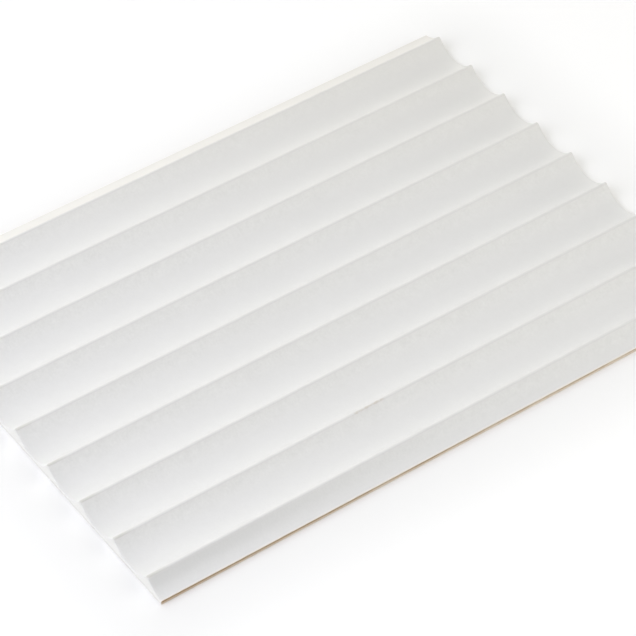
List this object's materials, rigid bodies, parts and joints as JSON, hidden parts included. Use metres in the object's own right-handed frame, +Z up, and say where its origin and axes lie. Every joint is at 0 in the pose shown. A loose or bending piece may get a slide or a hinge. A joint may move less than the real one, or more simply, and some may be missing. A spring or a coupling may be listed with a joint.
{
  "type": "fluted panel",
  "caption": "Flexible decorative board with scalloped flutes along its length, narrow rounded crests, a flat back and a thin web under each flute that lets it bend.",
  "frame": {"origin": "middle of the flat back, which lies on the surface under the panel", "axes": "+X along the flutes, +Y across them, +Z up out of the fluted face"},
  "size_m": [0.298, 0.22, 0.008],
  "materials": {
    "primed_fibreboard": "matt white primer on the fluted face and both ends, raw brown fibreboard on the sawn long edges and the back"
  },
  "bodies": {
    "root": {"fluted_panel": "primed_fibreboard"}
  },
  "joints": []
}
